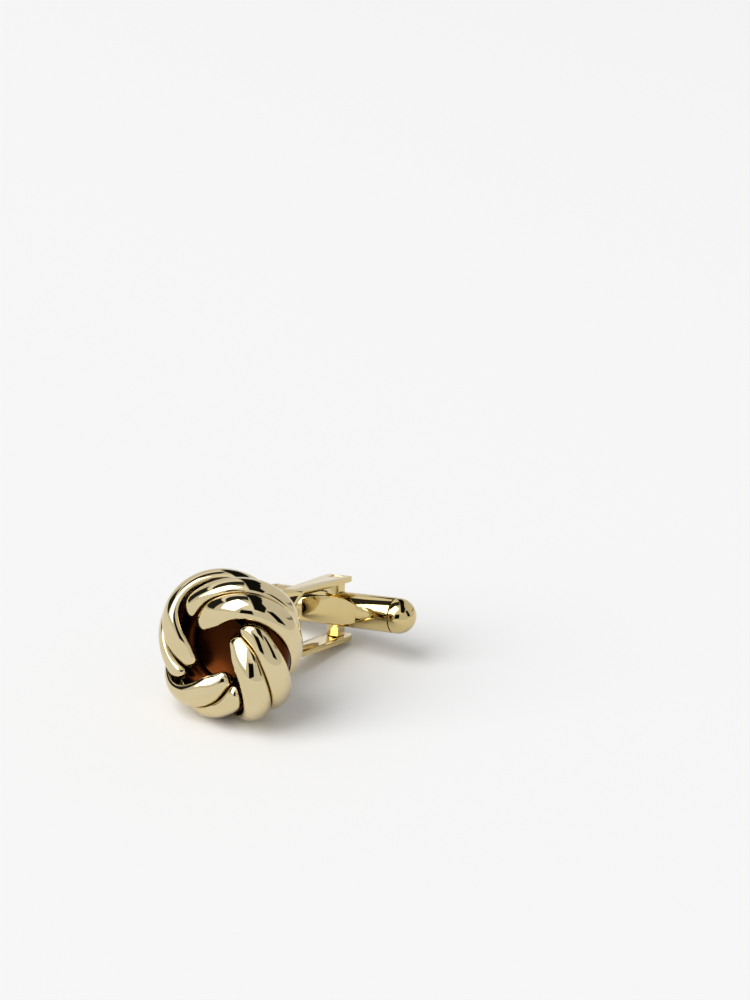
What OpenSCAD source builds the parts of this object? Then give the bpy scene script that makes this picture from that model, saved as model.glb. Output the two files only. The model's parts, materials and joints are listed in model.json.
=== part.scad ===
/* [Knot] */
// Radius of the circle that the knot's rounded ring runs along
ring_r = 5.3; // [5.2:0.05:5.4]
// Radius of the ring's section, measured across the ring
tube_r = 3.1; // [3:0.05:3.2]
// Half the depth of the knot, measured along the shank
tube_h = 4.0; // [3.8:0.05:4.2]
// Share of the ring section's radius that sets the width of one strip
strip_width_share = 0.99; // [0.92:0.01:0.99]
// Height of a strip's rounded back over its edges
strip_dome = 0.72; // [0.5:0.02:0.9]
// Thickness of the strips' sheet
strip_sheet = 0.34; // [0.26:0.02:0.4]
// Gap in the groove between the two strips of a band
strip_gap = 0.06; // [0.04:0.01:0.1]
// Height by which a band's open edge stands over its hidden edge
lip_rise = 0.7; // [0.6:0.05:0.8]
// Length of a strip's rounded tip
tip_length = 1.15; // [0.9:0.05:1.3]
// Depth by which a strip's tip sinks towards the core
tip_drop = 0.6; // [0.4:0.05:0.8]
// Distance by which the two strips part at the middle hole where they come out on top
open_spread = 0.1; // [0:0.05:0.2]
// Distance by which they part where they run under the next band
tucked_spread = 0.2; // [0.1:0.05:0.4]
// Share that sets how flat the knot's face stays towards the middle hole
face_share = 0.25; // [0.2:0.05:0.45]
// Turn of the knot about the shank, in degrees
knot_turn = 40; // [30:1:50]

/* [Core and neck] */
// Radius of the core's hub
hub_r = 3.3; // [3:0.05:3.4]
// Half the thickness of the core's hub at its rim
hub_half = 1.1; // [0.9:0.05:1.2]
// Depth of the dish in each face of the hub
dish_depth = 0.6; // [0.4:0.05:0.7]
// Room between the core's outer bead and the surface that the strips lie on
bead_room = 1.65; // [1.6:0.05:1.9]
// Half the thickness of the web between hub and bead
web_half = 0.5; // [0.4:0.05:0.6]
// Radius of the neck between the knot and the bracket
neck_r = 1.1; // [0.9:0.05:1.2]
// Distance from the knot's middle to the bracket's back
neck_end = 7.8; // [7.4:0.1:8.4]

/* [Bracket] */
// Distance from the knot's middle to the pivot pin
pivot_x = 22; // [21:0.1:23]
// Half the distance over the two arms
arm_half = 3.65; // [3.5:0.05:3.9]
// Width of the bracket strip at its bend
bend_w = 2.5; // [2.2:0.1:2.8]
// Width of an arm at its tip
tip_w = 3.2; // [3:0.1:3.4]
// Length of an arm past the pivot pin
tip_over = 2.0; // [1.8:0.05:2.2]
// Thickness of the bracket's sheet
arm_sheet = 0.56; // [0.5:0.02:0.6]
// Radius of the rounding across an arm's outer face
arm_round_r = 4.6; // [4.2:0.1:6]
// Depth that the rounding takes off along an arm's middle
arm_round_cut = 0.04; // [0.02:0.01:0.06]
// Inner radius of the bend at the bottom of the bracket
bend_r = 0.7; // [0.6:0.05:0.9]
// Inner radius of the bend between a leg and its arm
knee_r = 2.5; // [2.1:0.1:2.7]
// Angle between a leg of the bracket and the shank, in degrees
leg_angle = 35; // [33:1:38]
// Length of the bevel at an arm's tip
tip_bevel = 0.9; // [0.7:0.05:1.1]

/* [Pivot pin] */
// Width across the flats of the square pin
pin_w = 1.5; // [1.4:0.05:1.6]
// Width of the square tenon that is staked in an arm
tenon_w = 1.25; // [1.1:0.05:1.3]
// Clearance of the staked tenon in its square hole
stake_gap = 0.01; // [0.01:0.01:0.03]
// Clearance around the pin in the barrel's cheeks
pin_gap = 0.05; // [0.04:0.01:0.08]

/* [Toggle] */
// Outer radius of the barrel
barrel_r = 2.0; // [1.95:0.05:2.1]
// Wall of the barrel
barrel_wall = 0.34; // [0.3:0.02:0.4]
// Half the length of the toggle over its caps
toggle_half = 10.1; // [9.6:0.1:10.3]
// Length of a cap's plain band behind its dome
cap_band = 0.75; // [0.6:0.05:1]
// Width of the groove between barrel and cap
cap_groove = 0.12; // [0.08:0.02:0.2]
// Half the height of the slot at its narrow ends
slot_end_half = 0.34; // [0.28:0.02:0.4]
// Length of barrel left whole between slot and cap
slot_bridge = 0.9; // [0.8:0.1:1.2]
// Radius of the scoop around the pin
scoop_r = 2.0; // [1.9:0.05:2.2]
// Clearance of a cap's plug in the barrel
plug_gap = 0.02; // [0.01:0.01:0.04]
// Length of a cap's plug
plug_length = 0.8; // [0.6:0.05:0.8]
// Half the gap between the barrel's two cheeks
cheek_half = 0.86; // [0.82:0.02:0.9]
// Thickness of a cheek
cheek_sheet = 0.3; // [0.24:0.02:0.34]
// Reach of the cheeks from the pin towards the knot
cheek_reach = 2.4; // [2.2:0.05:2.6]
// Half the length of the cheeks where they leave the barrel
cheek_root = 3.4; // [3.2:0.1:3.6]
// Width of metal left around the pin's hole
hole_rim = 0.26; // [0.22:0.02:0.28]

/* [Detent spring] */
// Thickness of the leaf
leaf_sheet = 0.2; // [0.16:0.02:0.24]
// Gap left between each end of the leaf and the plug of the cap there
leaf_end_gap = 1.0; // [0.5:0.05:1.4]
// Half the length of the leaf's flat middle
leaf_flat_half = 1.6; // [1.4:0.1:1.8]
// Half the height of the leaf
leaf_high_half = 0.7; // [0.6:0.02:0.74]

/* [Rest] */
// Tilt of the shank when the cufflink lies on a table, in degrees
rest_tilt = 9.7; // [8:0.01:12]
// Roll about the shank when it lies on a table, in degrees
rest_roll = -10.4; // [-16:0.01:0]
// Height of the knot's middle over the table
rest_height = 7.719; // [7:0.001:9]
// Distance from the knot's middle to the middle of the cufflink's length, as it lies
rest_back = 9.511; // [8:0.001:13]
// Distance from the knot's middle to the middle of the cufflink's width, as it lies
rest_side = 0.000; // [-1:0.001:1]

/* [Hidden] */
$fn = 72;
gold = [0.86, 0.77, 0.52];
deep_gold = [0.72, 0.56, 0.28];
steel = [0.72, 0.70, 0.66];
overrun = 1;
radian = 180 / PI;

// slope of the bands on the ring: every band crosses the ring's circles at one angle
slope_sin = tube_r / ring_r;
slope_cos = sqrt(1 - slope_sin * slope_sin);
strip_w = strip_width_share * tube_r;
band_half = strip_w + strip_gap / 2;
strip_mid = (strip_w + strip_gap) / 2;
band_count = 4;

// a band's run is an angle: 0 on the knot's face, 90 at the rim, 180 on the knot's back
open_start = -34;
tucked_start = -16;
run_steps = 34;
tip_steps = 4;
profile_steps = 9;
tip_angle = 76;
// the strips follow the ring's section to this angle, and come no nearer to the hole than a little past it
hole_from = 130;
hole_room = 46;
// least height kept on the ring's section, as a share of its full height
least_rise = 0.02;
// the run over which the two strips of a band part, and over which a strip's ends come to lean
spread_from = 12;
spread_run = 50;
lean_from = 40;
lean_run = 60;
lean_angle = -12;

// places that follow from the sizes
bead_r = tube_r - bead_room;
dish_r = (hub_r * hub_r + dish_depth * dish_depth) / (2 * dish_depth);
bend_x = neck_end + bend_r + arm_sheet;
neck_seat = 2 * stake_gap;
arm_outer = arm_half + arm_round_cut;
leg_length = (arm_outer - (knee_r + arm_sheet) * (1 - cos(leg_angle)) - (bend_r + arm_sheet) * cos(leg_angle))
    / sin(leg_angle);
knee_z = arm_outer - knee_r - arm_sheet;
knee_x = bend_x + leg_length * cos(leg_angle) + (knee_r - bend_r) * sin(leg_angle);
tenon_hole = tenon_w + 2 * stake_gap;
tip_x = pivot_x + tip_over - tip_w / 2;
pin_shoulder = arm_outer - arm_sheet - stake_gap;
bevel_angle = 30;
hole_r = pin_w / 2 * sqrt(2) + pin_gap;
barrel_inner = barrel_r - barrel_wall;
barrel_half = toggle_half - barrel_r - cap_band - cap_groove;
cheek_end_share = 0.75;
cheek_root_x = sqrt(pow(barrel_r - barrel_wall / 2, 2) - pow(cheek_half + cheek_sheet / 2, 2));
leaf_half = barrel_half - plug_length - leaf_end_gap;
leaf_bow = sqrt(pow(barrel_inner, 2) - pow(leaf_high_half, 2)) - pin_w / 2 - 2 * pin_gap - leaf_sheet;
slot_half = barrel_half - slot_bridge;
slot_points = [
    [slot_half, -slot_end_half], [slot_half, slot_end_half],
    [cheek_root + cheek_half - slot_end_half, slot_end_half], [cheek_root, cheek_half],
    [-cheek_root, cheek_half], [slot_end_half - cheek_half - cheek_root, slot_end_half]
];

function smooth(x) = let(c = min(max(x, 0), 1)) c * c * (3 - 2 * c);
// how far a band has come towards the hole, counted for its parting and for its lean
function near_hole(run) = smooth((spread_from - run) / spread_run);
function near_end(run) = smooth((lean_from - run) / lean_run);
function ring_azimuth(run) =
    let(turn = atan2(tube_r + ring_r * sin(run), ring_r * cos(run) * slope_cos) - 90)
    (run > 90 && turn < 0) ? turn + 360 : turn;
// angle on the ring's section, held back softly where a strip nears the middle hole
function full_angle(run, side) = 90 - run + slope_cos * side / tube_r * radian;
function tube_angle(run, side) =
    let(turn = full_angle(run, side), over = max(abs(turn) - hole_from, 0))
    sign(turn) * (abs(turn) - over + hole_room * (1 - exp(-over / hole_room)));
function azimuth(run, side) =
    ring_azimuth(run)
    + slope_sin * side / (ring_r + tube_r * cos(tube_angle(run, side / 2))) * radian;
// place on the ring's surface: towards the middle hole the section stays high, so the face is nearly flat
function on_ring(angle, turn, lift) =
    let(
        rise = max(abs(sin(angle)), least_rise),
        power = cos(angle) < 0 ? face_share : 1,
        slope = [tube_h * power * pow(rise, power - 1) * cos(angle), tube_r * sin(angle)],
        normal = slope / norm(slope),
        radius = ring_r + tube_r * cos(angle) + lift * normal[0],
        depth = tube_h * pow(rise, power) * sign(sin(angle)) + lift * normal[1]
    )
    [-depth, -radius * cos(turn), radius * sin(turn)];
// point of a strip: the two strips of a band part a little at the hole
function strip_point(run, mid, across, height, turn) =
    let(
        side = mid + across,
        open_run = mid > 0 ? run : 180 - run,
        parting = open_spread * near_hole(open_run) + tucked_spread * near_hole(180 - open_run),
        place = side + sign(mid) * parting
    )
    on_ring(
        tube_angle(run, place),
        turn - azimuth(run, place),
        height - strip_dome + lip_rise * cos(run) * side / band_half
    );
// outer and inner outline of a strip's section, as places across the strip and heights
profile = [for (shell = [0, strip_sheet], i = [0:profile_steps]) let(a = 180 * i / profile_steps)
    [(strip_w / 2 - shell) * cos(a), (strip_dome - shell) * sin(a)]];
// a ring across the strip leans as it nears an end, so that the strip ends square to its own way
function ring_point(run, mid, p, turn) =
    let(lean = lean_angle * (near_end(run) + near_end(180 - run)) * p[0] / (strip_w / 2))
    strip_point(run + lean, mid, p[0], p[1], turn);
function flat_ring(run, mid, turn) = [for (p = profile) ring_point(run, mid, p, turn)];
// a strip's end closes as a fingertip does, and sinks towards the core
function tip_ring(run, step, mid, turn, way) =
    let(
        base = strip_point(run, mid, 0, 0, turn),
        up = strip_point(run, mid, 0, 1, turn) - base,
        along = strip_point(run + way, mid, 0, 0, turn) - base,
        flat = along - up * (along * up) / (up * up),
        bend = tip_angle * step / tip_steps,
        shift = tip_length * sin(bend) * flat / norm(flat) - tip_drop * (1 - cos(bend)) * up
    )
    [for (p = profile) base + shift + (ring_point(run, mid, p, turn) - base) * cos(bend)];

module knot_strip(band, mid) {
    first = mid > 0 ? open_start : tucked_start;
    last = 180 - (mid > 0 ? tucked_start : open_start);
    turn = knot_turn + 360 / band_count * band;
    rings = concat(
        [for (k = [tip_steps:-1:1]) tip_ring(first, k, mid, turn, -1)],
        [for (k = [0:run_steps]) flat_ring(first + (last - first) * k / run_steps, mid, turn)],
        [for (k = [1:tip_steps]) tip_ring(last, k, mid, turn, 1)]);
    count = profile_steps + 1;
    size = 2 * count;
    ring_last = len(rings) - 1;
    outer = [for (k = [0:ring_last - 1], i = [0:profile_steps - 1]) let(p = k * size + i)
        [p, p + 1, p + 1 + size, p + size]];
    inner = [for (k = [0:ring_last - 1], i = [0:profile_steps - 1]) let(p = k * size + count + i)
        [p + 1, p, p + size, p + 1 + size]];
    edges = [for (k = [0:ring_last - 1], e = [0, 1]) let(p = k * size + e * profile_steps, q = p + count)
        e == 0 ? [q, p, p + size, q + size] : [p, q, q + size, p + size]];
    ends = [for (e = [0, 1], i = [0:profile_steps - 1]) let(p = e * ring_last * size + i, q = p + count)
        e == 0 ? [p + 1, p, q, q + 1] : [p, p + 1, q + 1, q]];
    faces = [for (quad = concat(outer, inner, edges, ends)) each
        [[quad[0], quad[1], quad[2]], [quad[0], quad[2], quad[3]]]];
    color(gold) at_rest() polyhedron([for (ring = rings) each ring], faces);
}

// the core fills the ring's middle: a dished hub, a web and a round bead that the strips close over
module knot_core() {
    color(deep_gold) at_rest() rotate([0, 90, 0]) rotate_extrude() {
        difference() {
            translate([0, -hub_half]) square([hub_r, 2 * hub_half]);
            for (side = [-1, 1])
                translate([0, side * (hub_half - dish_depth + dish_r)]) circle(dish_r);
        }
        translate([0, -web_half]) square([ring_r, 2 * web_half]);
        translate([ring_r, 0]) circle(bead_r);
    }
}

module shank_neck() {
    color(gold) at_rest() difference() {
        intersection() {
            rotate([0, 90, 0]) cylinder(h = bend_x, r = neck_r);
            translate([hub_half - dish_depth + dish_r, 0, 0]) sphere(dish_r - stake_gap);
        }
        translate([bend_x, 0, 0]) rotate([90, 0, 0])
            cylinder(h = 2 * bend_w, r = bend_r + arm_sheet + neck_seat, center = true);
    }
}

// a strip bent into a fork: cut to its outline, rounded along the arms, pierced for the pin and bevelled
module shank_bracket() {
    color(gold) at_rest() difference() {
        intersection() {
            rotate([90, 0, 0]) difference() {
                fork_block(0, pivot_x + tip_over, tip_w + overrun);
                fork_block(arm_sheet, pivot_x + tip_over + overrun, tip_w + 2 * overrun);
            }
            linear_extrude(4 * arm_half, center = true) bracket_outline();
            for (side = [-1, 1]) translate([0, 0, side * (arm_half - arm_round_r)]) rotate([0, 90, 0])
                cylinder(h = 2 * pivot_x, r = arm_round_r);
        }
        translate([pivot_x, 0, 0]) cube([tenon_hole, tenon_hole, 4 * arm_half], center = true);
        for (turn = [0, 180]) rotate([turn, 0, 0])
            translate([pivot_x + tip_over - tip_bevel, 0, arm_half]) rotate([0, bevel_angle, 0])
                translate([-overrun, -tip_w, 0]) cube(2 * tip_w);
    }
}
// the room that the fork takes, set in by a distance: a tight bend, slanting legs, knees and arms
module fork_block(inset, reach, width) {
    bottom = bend_r + arm_sheet - inset;
    knee = knee_r + arm_sheet - inset;
    half = [
        [bend_x - bottom * sin(leg_angle), bottom * cos(leg_angle)],
        [knee_x - knee * sin(leg_angle), knee_z + knee * cos(leg_angle)],
        [knee_x, knee_z + knee], [reach, knee_z + knee]
    ];
    linear_extrude(width, center = true)
        polygon([each half, for (k = [3:-1:0]) [half[k][0], -half[k][1]]]);
    translate([bend_x, 0, 0]) cylinder(h = width, r = bottom, center = true);
    for (side = [-1, 1]) translate([knee_x, side * knee_z, 0]) cylinder(h = width, r = knee, center = true);
}
// outline of the bracket, seen along the pin
module bracket_outline() {
    polygon([
        [neck_end - overrun, -bend_w / 2], [knee_x, -bend_w / 2], [tip_x, -tip_w / 2],
        [tip_x, tip_w / 2], [knee_x, bend_w / 2], [neck_end - overrun, bend_w / 2]
    ]);
    translate([tip_x, 0]) circle(tip_w / 2);
}

// a square bar between the arms, with a square tenon staked through each of them
module pivot_pin() {
    color(steel) at_rest() translate([pivot_x, 0, 0]) {
        cube([pin_w, pin_w, 2 * pin_shoulder], center = true);
        cube([tenon_w, tenon_w, 2 * arm_half], center = true);
    }
}

// outline of the slot along the barrel, seen from the knot
module slot_outline() {
    polygon([for (side = [1, -1], p = slot_points) [side * p[0], side * p[1]]]);
}
// outline of a cheek, seen along the pin
module cheek_outline() {
    difference() {
        polygon([
            [-cheek_reach, -scoop_r * cheek_end_share], [-cheek_reach, scoop_r * cheek_end_share],
            [-cheek_root_x, cheek_root], [hole_r + hole_rim, scoop_r * cheek_end_share],
            [hole_r + hole_rim, -scoop_r * cheek_end_share], [-cheek_root_x, -cheek_root]
        ]);
        circle(hole_r);
    }
}
module toggle_barrel() {
    color(gold) at_rest() translate([pivot_x, 0, 0]) {
        difference() {
            rotate([90, 0, 0]) cylinder(h = 2 * barrel_half, r = barrel_r, center = true);
            rotate([90, 0, 0]) cylinder(h = 2 * (barrel_half + overrun), r = barrel_inner, center = true);
            rotate([90, 0, -90]) linear_extrude(barrel_r + overrun) slot_outline();
            translate([hole_r + pin_gap - scoop_r, 0, 0])
                cylinder(h = 2 * (barrel_r + overrun), r = scoop_r, center = true);
        }
        for (side = [-1, 1])
            translate([0, 0, side * (cheek_half + cheek_sheet / 2)])
                linear_extrude(cheek_sheet, center = true) cheek_outline();
    }
}

module toggle_cap(side) {
    color(gold) at_rest() translate([pivot_x, 0, 0]) rotate([-90 * side, 0, 0]) {
        translate([0, 0, barrel_half + cap_groove]) cylinder(h = cap_band, r = barrel_r);
        intersection() {
            translate([0, 0, toggle_half - barrel_r]) sphere(barrel_r);
            translate([0, 0, toggle_half - barrel_r]) cylinder(h = 2 * barrel_r, r = 2 * barrel_r);
        }
        translate([0, 0, barrel_half - plug_length])
            cylinder(h = plug_length + cap_groove + cap_band, r = barrel_inner - plug_gap);
    }
}

// a bowed leaf behind the pin: its middle lies on a flat of the pin, its ends bear on the barrel
module detent_spring() {
    color(steel) at_rest() translate([pivot_x + pin_w / 2 + pin_gap, 0, 0])
        linear_extrude(2 * leaf_high_half, center = true)
            polygon([
                [0, -leaf_flat_half], [0, leaf_flat_half],
                [leaf_bow, leaf_half], [leaf_bow + leaf_sheet, leaf_half],
                [leaf_sheet, leaf_flat_half], [leaf_sheet, -leaf_flat_half],
                [leaf_bow + leaf_sheet, -leaf_half], [leaf_bow, -leaf_half]
            ]);
}

// every piece is drawn about the knot's middle, with the shank along x, and then laid down
module at_rest() {
    translate([-rest_back, -rest_side, rest_height])
        rotate([rest_roll, rest_tilt, 0])
            children();
}

knot_strip(0, strip_mid);  // knot_strip_1a
knot_strip(0, -strip_mid);  // knot_strip_1b
knot_strip(1, strip_mid);  // knot_strip_2a
knot_strip(1, -strip_mid);  // knot_strip_2b
knot_strip(2, strip_mid);  // knot_strip_3a
knot_strip(2, -strip_mid);  // knot_strip_3b
knot_strip(3, strip_mid);  // knot_strip_4a
knot_strip(3, -strip_mid);  // knot_strip_4b
knot_core();
shank_neck();
shank_bracket();
pivot_pin();
toggle_barrel();
toggle_cap(1);  // toggle_cap_left
toggle_cap(-1);  // toggle_cap_right
detent_spring();
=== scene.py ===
import json
import math

import bpy
from mathutils import Euler, Matrix, Vector


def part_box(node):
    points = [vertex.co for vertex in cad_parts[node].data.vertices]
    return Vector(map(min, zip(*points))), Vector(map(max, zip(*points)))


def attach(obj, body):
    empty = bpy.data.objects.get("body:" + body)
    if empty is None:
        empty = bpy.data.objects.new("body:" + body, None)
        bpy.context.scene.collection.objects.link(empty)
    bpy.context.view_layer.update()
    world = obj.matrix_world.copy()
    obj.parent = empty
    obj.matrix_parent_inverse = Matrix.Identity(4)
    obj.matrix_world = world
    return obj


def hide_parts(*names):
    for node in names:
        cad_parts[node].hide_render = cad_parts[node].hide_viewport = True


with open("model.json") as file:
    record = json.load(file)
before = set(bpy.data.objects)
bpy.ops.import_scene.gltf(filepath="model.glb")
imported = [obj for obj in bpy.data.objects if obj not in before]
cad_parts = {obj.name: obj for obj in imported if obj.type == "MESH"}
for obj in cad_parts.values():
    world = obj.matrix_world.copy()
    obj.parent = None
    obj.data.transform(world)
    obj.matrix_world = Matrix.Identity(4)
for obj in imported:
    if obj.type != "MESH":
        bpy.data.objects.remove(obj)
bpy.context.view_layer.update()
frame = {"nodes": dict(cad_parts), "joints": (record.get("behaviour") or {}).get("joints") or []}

nodes = frame["nodes"]
swivel = frame["joints"][0]
mm = 0.001
print("cufflink loaded:", len(nodes), "CAD pieces")


# pieces are given in mm and degrees, and paper, camera and studio in metres and degrees
# vertices closer than mergeUpTo become one, faces tilted less than flatUpTo become one,
# and edges sharper than sharpFrom stay crisp
meshCare = {"mergeUpTo": 0.0005, "flatUpTo": 0.5, "sharpFrom": 32}


# the cufflink's own axes from the knot's middle: along the shank, along the toggle, along the pin
def cufflinkPlace():
    low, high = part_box("knot_core")
    middle = (low + high) / 2
    alongShank = (Vector(swivel["pos_m"]) - middle).normalized()
    alongPin = Vector(swivel["axis"]).normalized()
    alongToggle = alongPin.cross(alongShank)
    place = Matrix((alongShank, alongToggle, alongPin)).transposed().to_4x4()
    place.translation = middle
    return place


knotPlace = cufflinkPlace()
pivotAt = (knotPlace.inverted() @ Vector(swivel["pos_m"])).x
pivotPlace = knotPlace @ Matrix.Translation((pivotAt, 0, 0))


# selection, editing and finishing, as every piece needs them
def selectOnly(piece):
    bpy.ops.object.select_all(action="DESELECT")
    piece.select_set(True)
    bpy.context.view_layer.objects.active = piece


def startEdit(piece):
    # edit mode with the whole mesh selected
    selectOnly(piece)
    bpy.ops.object.mode_set(mode="EDIT")
    bpy.ops.mesh.select_all(action="SELECT")


def endEdit():
    bpy.ops.object.mode_set(mode="OBJECT")


def applyModifier(piece, kind, **settings):
    selectOnly(piece)
    modifier = piece.modifiers.new(kind.title(), kind)
    for name, value in settings.items():
        setattr(modifier, name, value)
    bpy.ops.object.modifier_apply(modifier=modifier.name)


def easeEdges(piece, width, segments):
    sharpFrom = math.radians(meshCare["sharpFrom"])
    applyModifier(
        piece, "BEVEL", width=width * mm, segments=segments,
        limit_method="ANGLE", angle_limit=sharpFrom, use_clamp_overlap=True,
    )


def smoothCrisply(piece):
    selectOnly(piece)
    bpy.ops.object.shade_smooth_by_angle(angle=math.radians(meshCare["sharpFrom"]))


def settle(piece, place):
    # stands the piece on the cufflink's axes and bakes that into its mesh
    selectOnly(piece)
    piece.matrix_world = place
    bpy.ops.object.transform_apply(location=True, rotation=True, scale=True)


def finishPiece(piece, node, body, metal):
    piece.data.materials.clear()
    piece.data.materials.append(materials[metal])
    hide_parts(node)
    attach(piece, body)


def addObject(name, data):
    added = bpy.data.objects.new(name, data)
    bpy.context.scene.collection.objects.link(added)
    return added


def copyOfNode(node, name):
    piece = addObject(name, nodes[node].data.copy())
    startEdit(piece)
    bpy.ops.mesh.remove_doubles(threshold=meshCare["mergeUpTo"] * mm)
    bpy.ops.mesh.customdata_custom_splitnormals_clear()
    endEdit()
    return piece


# shader nodes: an input is given as a number, a colour or another node's output
def feed(socket, value):
    if isinstance(value, bpy.types.NodeSocket):
        socket.id_data.links.new(value, socket)
    else:
        socket.default_value = value


def addNode(tree, kind, inputs, **settings):
    node = tree.nodes.new("ShaderNode" + kind)
    for name, value in settings.items():
        setattr(node, name, value)
    for socket, value in inputs.items():
        feed(node.inputs[socket], value)
    return node


def addMath(tree, operation, *values):
    return addNode(tree, "Math", dict(enumerate(values)), operation=operation).outputs[0]


# finish shared by the metals, with its patterns in mm
polish = {
    # slow change of polish over a few millimetres
    "clouds": {"scale": 0.45, "detail": 3, "roughness": 0.5, "spread": (0.3, 0.8), "share": 0.5},
    # hairlines left by the polishing mop
    "wipes": {"scale": 7, "detail": 4, "roughness": 0.65, "spread": (0.45, 0.75), "share": 0.6},
    "wipeStretch": (0.12, 1, 1), "wipeDepth": 0.012,
    # faint unevenness under the plating
    "waves": {"scale": 0.8, "detail": 1, "roughness": 0.5},
    "bumpDepth": 0.02,
}


def addNoise(tree, vector, look):
    return addNode(tree, "TexNoise", {
        "Vector": vector, "Scale": look["scale"], "Detail": look["detail"],
        "Roughness": look["roughness"],
    }).outputs["Fac"]


def addRange(tree, value, spread, low, high):
    # the spread of the value, drawn out from low to high
    return addNode(tree, "MapRange", {
        "Value": value, "From Min": spread[0], "From Max": spread[1],
        "To Min": low, "To Max": high,
    }).outputs["Result"]


def makePolishGroup():
    group = bpy.data.node_groups.new("polishMarks", "ShaderNodeTree")
    group.interface.new_socket(name="Grain", in_out="INPUT", socket_type="NodeSocketVector")
    for name in ("Smoothest", "Dullest", "Waviness"):
        group.interface.new_socket(name=name, in_out="INPUT", socket_type="NodeSocketFloat")
    for name in ("Roughness", "Height", "Tint"):
        group.interface.new_socket(name=name, in_out="OUTPUT", socket_type="NodeSocketFloat")
    given = group.nodes.new("NodeGroupInput").outputs
    result = group.nodes.new("NodeGroupOutput").inputs

    clouds, wipes = polish["clouds"], polish["wipes"]
    stretched = addNode(
        group, "VectorMath", {0: given["Grain"], 1: polish["wipeStretch"]}, operation="MULTIPLY",
    ).outputs[0]
    cloudMarks = addNoise(group, given["Grain"], clouds)
    wipeMarks = addNoise(group, stretched, wipes)
    waveMarks = addNoise(group, given["Grain"], polish["waves"])

    hairlines = addRange(group, wipeMarks, wipes["spread"], 0, 1)
    patches = addRange(group, cloudMarks, clouds["spread"], 0, clouds["share"])
    dullness = addMath(group, "MULTIPLY_ADD", hairlines, wipes["share"], patches)
    roughness = addRange(group, dullness, (0, 1), given["Smoothest"], given["Dullest"])
    scratches = addMath(group, "MULTIPLY", wipeMarks, polish["wipeDepth"])
    height = addMath(group, "MULTIPLY_ADD", waveMarks, given["Waviness"], scratches)
    feed(result["Roughness"], roughness)
    feed(result["Height"], height)
    feed(result["Tint"], cloudMarks)
    return group


polishMarks = makePolishGroup()


# two tints and the range of roughness for each metal; grainTurn is in radians
metals = {
    "knotGold": {
        "pale": (0.72, 0.615, 0.39), "warm": (0.66, 0.54, 0.30),
        "smoothest": 0.02, "dullest": 0.06, "waviness": 0.25, "bump": 0.25,
        "grainTurn": (0.3, 0.7, 0.2),
    },
    # painted shade: the core's gold is darkened almost to black-red, standing in for the shade and
    # the gold-on-gold reflections deep in the knot's hollow
    "corePaintedShadeGold": {
        "pale": (0.075, 0.019, 0.004), "warm": (0.042, 0.010, 0.002),
        "smoothest": 0.24, "dullest": 0.38, "waviness": 0.6, "bump": 0.5,
        "grainTurn": (0.0, 0.4, 0.9),
    },
    "toggleGold": {
        "pale": (0.68, 0.555, 0.29), "warm": (0.62, 0.475, 0.20),
        "smoothest": 0.03, "dullest": 0.09, "waviness": 0.2, "bump": 0.3,
        "grainTurn": (0.0, 0.0, math.pi / 2),
    },
    "springSteel": {
        "pale": (0.62, 0.60, 0.57), "warm": (0.50, 0.48, 0.45),
        "smoothest": 0.18, "dullest": 0.35, "waviness": 0.3, "bump": 0.4,
        "grainTurn": (0.0, 0.0, math.pi / 2),
    },
}


def makeMetal(name, look):
    material = bpy.data.materials.new(name)
    material.use_nodes = True
    tree = material.node_tree
    shader = tree.nodes["Principled BSDF"].inputs
    coords = tree.nodes.new("ShaderNodeTexCoord").outputs
    grain = addNode(tree, "Mapping", {
        "Vector": coords["Object"], "Scale": (1 / mm,) * 3, "Rotation": look["grainTurn"],
    })
    marks = tree.nodes.new("ShaderNodeGroup")
    marks.node_tree = polishMarks
    feed(marks.inputs["Grain"], grain.outputs["Vector"])
    feed(marks.inputs["Smoothest"], look["smoothest"])
    feed(marks.inputs["Dullest"], look["dullest"])
    feed(marks.inputs["Waviness"], look["waviness"])
    tint = addNode(tree, "Mix", {
        "Factor": marks.outputs["Tint"], "A": (*look["pale"], 1), "B": (*look["warm"], 1),
    }, data_type="RGBA")
    bump = addNode(tree, "Bump", {
        "Strength": look["bump"], "Distance": polish["bumpDepth"] * mm,
        "Height": marks.outputs["Height"],
    })
    feed(shader["Metallic"], 1)
    feed(shader["Base Color"], tint.outputs["Result"])
    feed(shader["Roughness"], marks.outputs["Roughness"])
    feed(shader["Normal"], bump.outputs["Normal"])
    return material


materials = {name: makeMetal(name, look) for name, look in metals.items()}
print("metals ready:", ", ".join(materials))


# knot: each strip's sheet in quads, rounded by subdivision so that reflections run smoothly
knotStrip = {"levels": 2, "lipAngle": 38, "lipCrease": 0.7, "pairTilt": 60, "pairShape": 180}


def dressStrip(node):
    piece = copyOfNode(node, node.replace("knot_strip", "fine_strip"))
    levels = knotStrip["levels"]
    startEdit(piece)
    bpy.ops.mesh.tris_convert_to_quads(
        face_threshold=math.radians(knotStrip["pairTilt"]),
        shape_threshold=math.radians(knotStrip["pairShape"]),
    )
    bpy.ops.mesh.select_mode(type="EDGE")
    bpy.ops.mesh.select_all(action="DESELECT")
    bpy.ops.mesh.edges_select_sharp(sharpness=math.radians(knotStrip["lipAngle"]))
    bpy.ops.transform.edge_crease(value=knotStrip["lipCrease"])       # the lips stay crisp
    bpy.ops.mesh.select_mode(type="VERT")
    endEdit()
    applyModifier(piece, "SUBSURF", levels=levels, render_levels=levels)
    bpy.ops.object.shade_smooth()
    finishPiece(piece, node, "head", "knotGold")


for strip in sorted(name for name in nodes if name.startswith("knot_strip")):
    dressStrip(strip)
print("knot strips smoothed")


# core: its outer bead is rounded up to a full ring close under the strips, and its gold carries
# painted shade, darkened almost to black-red
coreRing = {"radius": 5.3, "tube": 1.84, "around": 128, "across": 32}


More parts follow.
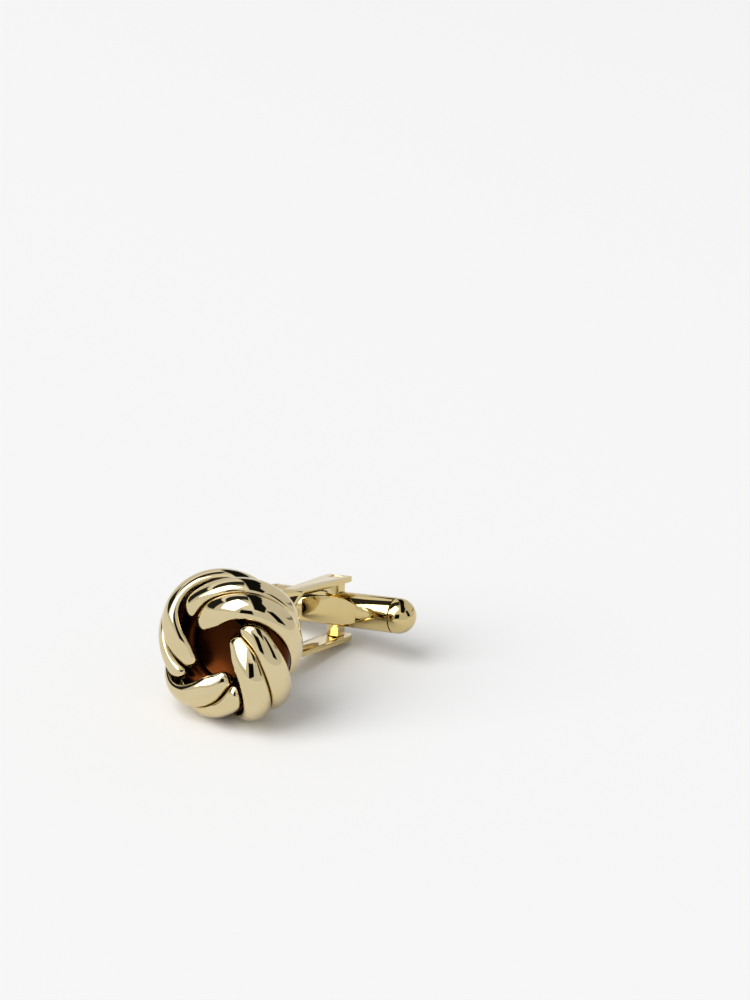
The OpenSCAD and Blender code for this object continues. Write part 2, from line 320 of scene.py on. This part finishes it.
def dressCore():
    piece = copyOfNode("knot_core", "fine_knot_core")
    bpy.ops.object.select_all(action="DESELECT")
    bpy.ops.mesh.primitive_torus_add(
        major_radius=coreRing["radius"] * mm, minor_radius=coreRing["tube"] * mm,
        major_segments=coreRing["around"], minor_segments=coreRing["across"],
    )
    ring = bpy.context.object
    settle(ring, knotPlace @ Matrix.Rotation(math.pi / 2, 4, "Y"))
    selectOnly(piece)
    ring.select_set(True)
    bpy.ops.object.join()
    smoothCrisply(piece)
    # the core takes the gold with painted shade of the knot's hollow
    finishPiece(piece, "knot_core", "head", "corePaintedShadeGold")


dressCore()
print("core filled out")


# neck, bracket, pin and leaf: edges eased with a small bevel, where the width isn't 0
easedPieces = {
    "shank_neck": {
        "width": 0, "segments": 1, "body": "head", "slot": "gold_plate", "metal": "toggleGold",
    },
    "shank_bracket": {
        "width": 0.07, "segments": 3, "body": "head", "slot": "gold_plate", "metal": "toggleGold",
    },
    "pivot_pin": {
        "width": 0.06, "segments": 3, "body": "head", "slot": "gold_plate", "metal": "toggleGold",
    },
    "detent_spring": {
        "width": 0.03, "segments": 2, "body": "toggle", "slot": "spring_steel",
        "metal": "springSteel",
    },
}


def dressPlain(node, width, segments, body, slot, metal):
    piece = copyOfNode(node, "fine_" + node)
    if width:
        startEdit(piece)
        bpy.ops.mesh.dissolve_limited(angle_limit=math.radians(meshCare["flatUpTo"]))
        endEdit()
        easeEdges(piece, width, segments)
    smoothCrisply(piece)
    finishPiece(piece, node, body, metal)


for node, settings in easedPieces.items():
    dressPlain(node, **settings)
print("shank eased")


# barrel: a tube whose knot side is milled hollow, with a thin floor left in front of the pin;
# mill is the hollow's radius, and cutHalf is half the length of each cutter
barrelShape = {
    "radius": 2.0, "half": 7.66, "bore": 1.66, "boreOverrun": 1, "facets": 128,
    "mill": 12.3, "floor": 1.25, "sheet": 0.13, "millFacets": 512,
    "pinHole": 1.09, "pinFacets": 64, "cutHalf": 3,
    "easing": 0.06, "easingSteps": 3,
}


def addRod(radius, half, facets, place=Matrix.Identity(4)):
    bpy.ops.object.select_all(action="DESELECT")
    bpy.ops.mesh.primitive_cylinder_add(radius=radius * mm, depth=2 * half * mm, vertices=facets)
    rod = bpy.context.object
    rod.data.transform(place)
    return rod


def cutAway(piece, tool):
    applyModifier(piece, "BOOLEAN", object=tool, operation="DIFFERENCE", solver="EXACT")
    bpy.data.objects.remove(tool)


def makeBarrel():
    shape = barrelShape
    alongToggle = Matrix.Rotation(math.pi / 2, 4, "X")
    piece = addRod(shape["radius"], shape["half"], shape["facets"], alongToggle)
    bore = addRod(shape["bore"], shape["half"] + shape["boreOverrun"], shape["facets"], alongToggle)
    millAt = Matrix.Translation((-(shape["floor"] + shape["mill"]) * mm, 0, 0))
    cutHalf, millFacets = shape["cutHalf"], shape["millFacets"]
    # the bore stays clear of the milled hollow, which leaves the floor's sheet
    cutAway(bore, addRod(shape["mill"] + shape["sheet"], cutHalf, millFacets, millAt))
    cutAway(piece, addRod(shape["mill"], cutHalf, millFacets, millAt))
    cutAway(piece, bore)
    cutAway(piece, addRod(shape["pinHole"], cutHalf, shape["pinFacets"]))
    easeEdges(piece, shape["easing"], shape["easingSteps"])
    piece.name = "fine_toggle_barrel"
    settle(piece, pivotPlace)
    smoothCrisply(piece)
    finishPiece(piece, "toggle_barrel", "toggle", "toggleGold")


makeBarrel()
print("barrel milled")


# end caps: one turned profile, spun about the toggle's line, with a fine lip behind the band;
# half is half the toggle's length
capTurning = {
    "half": 10.1, "radius": 2.0, "band": 0.32, "groove": 0.12,
    "plugRadius": 1.64, "plug": 0.8, "lip": 0.06,
    "lipSteps": 6, "domeSteps": 30, "spinSteps": 96,
}


def arcPoints(middle, radius, start, end, steps):
    points = []
    for step in range(steps + 1):
        turn = math.radians(start + (end - start) * step / steps)
        points.append((middle[0] + radius * math.cos(turn), middle[1] + radius * math.sin(turn)))
    return points


def capProfile():
    # distances from the toggle's line and along it, from the plug's end to the dome's tip
    size = capTurning
    radius, plugRadius, lip = size["radius"], size["plugRadius"], size["lip"]
    domeAt = size["half"] - radius
    bandBack = domeAt - size["band"]
    plugEnd = bandBack - size["groove"] - size["plug"]
    profile = [(0, plugEnd), (plugRadius, plugEnd), (plugRadius, bandBack)]
    profile += arcPoints((radius - lip, bandBack + lip), lip, -90, 0, size["lipSteps"])
    profile += arcPoints((0, domeAt), radius, 0, 90, size["domeSteps"])
    return profile


def makeCap(node, side):
    points = [(out * mm, 0, forward * mm) for out, forward in capProfile()]
    mesh = bpy.data.meshes.new("cap_" + node)
    mesh.from_pydata(points, [(here, here + 1) for here in range(len(points) - 1)], [])
    piece = addObject("fine_" + node, mesh)
    startEdit(piece)
    bpy.ops.mesh.spin(
        steps=capTurning["spinSteps"], angle=math.tau, center=(0, 0, 0), axis=(0, 0, 1),
    )
    bpy.ops.mesh.select_all(action="SELECT")
    bpy.ops.mesh.remove_doubles(threshold=meshCare["mergeUpTo"] * mm)
    bpy.ops.mesh.normals_make_consistent(inside=False)
    endEdit()
    settle(piece, pivotPlace @ Matrix.Rotation(-side * math.pi / 2, 4, "X"))
    smoothCrisply(piece)
    finishPiece(piece, node, "toggle", "toggleGold")


makeCap("toggle_cap_left", 1)
makeCap("toggle_cap_right", -1)
print("caps turned")


# white paper that the cufflink lies on; past its edge the camera sees the same shade
paper = {"size": 6.0, "shade": 0.92}


def makePaper():
    bpy.ops.object.select_all(action="DESELECT")
    bpy.ops.mesh.primitive_plane_add(size=paper["size"])
    floor = bpy.context.object
    floor.name = "paper"
    material = bpy.data.materials.new("whitePaper")
    material.use_nodes = True
    tree = material.node_tree
    tree.nodes.clear()
    shade = paper["shade"]
    matt = addNode(tree, "BsdfDiffuse", {"Color": (shade, shade, shade, 1)})
    addNode(tree, "OutputMaterial", {"Surface": matt.outputs["BSDF"]})
    floor.data.materials.append(material)


makePaper()
print("paper laid")


# camera at the photograph's angle, fitted as a camera above level ground, over which
# the cufflink's own axes stand turned, tilted and rolled
view = {
    "distance": 0.264, "down": 19.7, "lens": 69.9, "sensor": 36, "clip": (0.005, 20),
    "stands": (-0.01509, -0.0634, 0.00664), "turned": 60.56, "tilted": 9.88, "rolled": -4.99,
}


def addCamera():
    down = math.radians(view["down"])
    back, up = view["distance"] * math.cos(down), view["distance"] * math.sin(down)
    looks = Matrix.Translation((0, -back, up))
    looks = looks @ Euler((math.pi / 2 - down, 0, 0)).to_matrix().to_4x4()
    lies = Matrix.Translation(view["stands"])
    for turn, axis in (("turned", "Z"), ("tilted", "Y"), ("rolled", "X")):
        lies = lies @ Matrix.Rotation(math.radians(view[turn]), 4, axis)
    lens = bpy.data.cameras.new("camera")
    lens.sensor_fit = "VERTICAL"
    lens.sensor_height = view["sensor"]
    lens.lens = view["lens"]
    lens.clip_start, lens.clip_end = view["clip"]
    camera = addObject("camera", lens)
    camera.matrix_world = knotPlace @ lies.inverted() @ looks
    bpy.context.scene.camera = camera
    return camera


camera = addCamera()
print("camera set")


# light: an even world and one large softbox; the metal mirrors a studio of areas and screens,
# and the camera sees the paper's shade behind all
# azimuths are counted from the camera's way and heights from the paper, and soft is the width
# over which an edge fades
studio = {
    "even": 0.46, "mirrored": 0.76, "soft": 1.5, "rounding": 0.2,
    "lamp": {"power": 1540, "size": (8.2, 15.6), "away": 12, "way": (-55, 43)},
    # areas that the metal mirrors: away from the middle, both edges follow the slope
    # and the top edge sags
    "areas": [
        {"azimuth": (-28, 27), "height": (36, 88), "shade": 0.98, "middle": 0},
        {"azimuth": (-172, -90), "height": (30, 62), "shade": 0.98, "middle": -130},
        {"azimuth": (-128, -84), "height": (2, 34), "shade": 0.02, "middle": -105},
    ],
    # dark gap in the ceiling, in paces aside and ahead for each pace up, and the least rise counted
    "gap": {
        "aside": (0.06, 0.70), "softAside": 0.04, "drift": 0.17,
        "ahead": (-3.0, 0.95), "softAhead": 0.06, "leastRise": 0.02, "shade": 0.008,
    },
    # what stands before the gap
    "screens": [
        {"azimuth": (84, 162), "height": (-6, 64), "shade": 0.74, "middle": 112, "sag": 0.0095},
        {"azimuth": (-27, 5), "height": (4, 33), "shade": 0.004, "middle": -10, "slope": 0.3},
        {"azimuth": (60, 83), "height": (9, 46), "shade": 0.004, "middle": 72, "slope": -0.3},
        {"azimuth": (112, 168), "height": (15, 21), "shade": 0.25, "middle": 110, "slope": -0.48},
        {"azimuth": (-178, -80), "height": (46, 81), "shade": 0.03, "middle": -137, "slope": -0.16},
    ],
}
upward = Vector((0, 0, 1))


def cameraWay(azimuth, height):
    # a direction from the paper: azimuth 0 is towards the camera, 90 is to its right
    backward = camera.matrix_world.to_3x3() @ upward
    backward = Vector((backward.x, backward.y, 0)).normalized()
    sideways = upward.cross(backward)
    turn, lift = math.radians(azimuth), math.radians(height)
    level = backward * math.cos(turn) + sideways * math.sin(turn)
    return level * math.cos(lift) + upward * math.sin(lift)


def along(tree, looking, way):
    # how far a step in the direction looked in goes along the way
    ways = {0: looking, 1: way}
    return addNode(tree, "VectorMath", ways, operation="DOT_PRODUCT").outputs["Value"]


def within(tree, value, low, high, soft):
    # mask that is 1 between low and high, with soft ends
    ends = []
    for inside in (addMath(tree, "SUBTRACT", value, low), addMath(tree, "SUBTRACT", high, value)):
        rise = addMath(tree, "DIVIDE", inside, soft)
        levelled = addMath(tree, "SMOOTH_MIN", rise, 1, studio["rounding"])
        ends.append(addMath(tree, "MAXIMUM", levelled, 0))
    return addMath(tree, "MULTIPLY", *ends)


def cover(tree, shade, mask, over):
    return addNode(tree, "Mix", {"Factor": mask, "A": shade, "B": over}).outputs["Result"]


def coverAreas(tree, shade, azimuth, height, areas):
    for area in areas:
        low, high = area["height"]
        off = addMath(tree, "SUBTRACT", azimuth, area["middle"])
        climb = addMath(tree, "MULTIPLY", off, area.get("slope", 0))
        sag = addMath(tree, "MULTIPLY", addMath(tree, "MULTIPLY", off, off), area.get("sag", 0))
        level = addMath(tree, "SUBTRACT", height, climb)
        top = addMath(tree, "SUBTRACT", high, sag)
        across = within(tree, azimuth, *area["azimuth"], studio["soft"])
        upright = within(tree, level, low, top, studio["soft"])
        shade = cover(tree, shade, addMath(tree, "MULTIPLY", across, upright), area["shade"])
    return shade


def ceilingGap(tree, front, side, up):
    gap = studio["gap"]
    above = addMath(tree, "MAXIMUM", up, gap["leastRise"])
    ahead = addMath(tree, "DIVIDE", front, above)
    drift = addMath(tree, "MULTIPLY", ahead, gap["drift"])
    aside = addMath(tree, "SUBTRACT", addMath(tree, "DIVIDE", side, above), drift)
    across = within(tree, aside, *gap["aside"], gap["softAside"])
    onward = within(tree, ahead, *gap["ahead"], gap["softAhead"])
    return addMath(tree, "MULTIPLY", across, onward)


def makeWorld():
    world = bpy.data.worlds.new("studio")
    bpy.context.scene.world = world
    world.use_nodes = True
    tree = world.node_tree
    looking = tree.nodes.new("ShaderNodeTexCoord").outputs["Generated"]
    rays = tree.nodes.new("ShaderNodeLightPath").outputs
    front = along(tree, looking, cameraWay(0, 0))
    side = along(tree, looking, cameraWay(90, 0))
    up = along(tree, looking, upward)
    azimuth = addMath(tree, "DEGREES", addMath(tree, "ARCTAN2", side, front))
    height = addMath(tree, "DEGREES", addMath(tree, "ARCSINE", up))

    mirrored = coverAreas(tree, studio["mirrored"], azimuth, height, studio["areas"])
    mirrored = cover(tree, mirrored, ceilingGap(tree, front, side, up), studio["gap"]["shade"])
    mirrored = coverAreas(tree, mirrored, azimuth, height, studio["screens"])
    shade = cover(tree, studio["even"], rays["Is Glossy Ray"], mirrored)
    shade = cover(tree, shade, rays["Is Camera Ray"], paper["shade"])
    feed(tree.nodes["Background"].inputs["Color"], shade)


def makeLamp():
    lamp = studio["lamp"]
    bpy.ops.object.light_add(type="AREA")
    softbox = bpy.context.object
    softbox.name = "softbox"
    softbox.data.shape = "RECTANGLE"
    softbox.data.energy = lamp["power"]
    softbox.data.size, softbox.data.size_y = lamp["size"]
    way = cameraWay(*lamp["way"])
    softbox.location = way * lamp["away"]
    softbox.rotation_euler = way.to_track_quat("Z", "Y").to_euler()


makeWorld()
makeLamp()
bpy.context.scene.view_settings.view_transform = "Standard"
print("studio lit")

print("scene ready")
